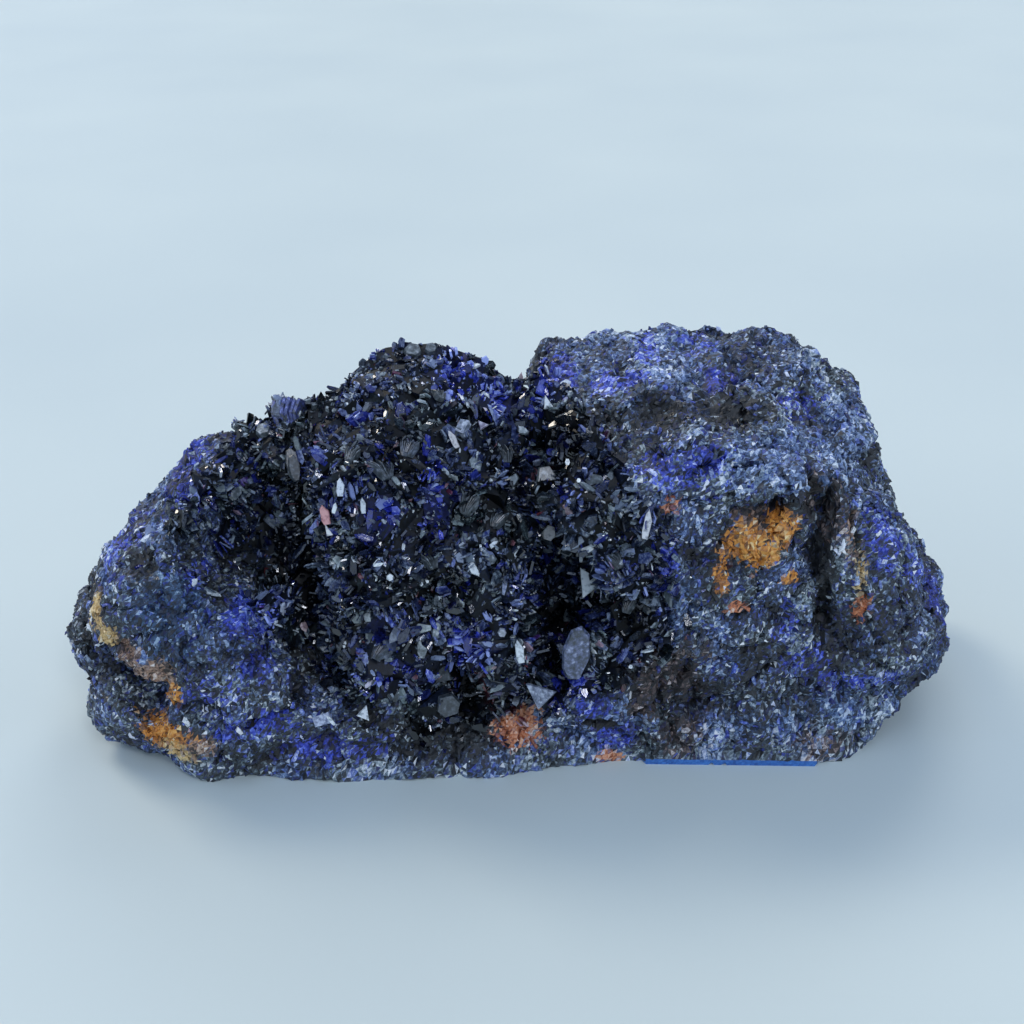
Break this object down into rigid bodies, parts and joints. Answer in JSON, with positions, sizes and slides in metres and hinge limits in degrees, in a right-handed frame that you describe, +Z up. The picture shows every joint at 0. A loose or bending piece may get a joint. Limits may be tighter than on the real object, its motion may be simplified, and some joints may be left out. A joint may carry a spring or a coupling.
{
  "type": "azurite specimen",
  "caption": "Rough azurite block with a sawn flat base, its front open in hollows lined with dark bladed crystals, for display on a shelf or table.",
  "frame": {"origin": "middle of the bounding box, on the sawn base", "axes": "+Z up, +X along the block, the crystal-lined front faces -Y"},
  "size_m": [0.075, 0.031, 0.0318],
  "materials": {
    "azurite_rock": "broken, fine-grained azurite with yellow-brown limonite stains",
    "crystal_crust": "blue-black azurite crystals with bright flat faces"
  },
  "bodies": {
    "root": {"azurite_rock": "azurite_rock", "crystal_crust": "crystal_crust"}
  },
  "joints": []
}
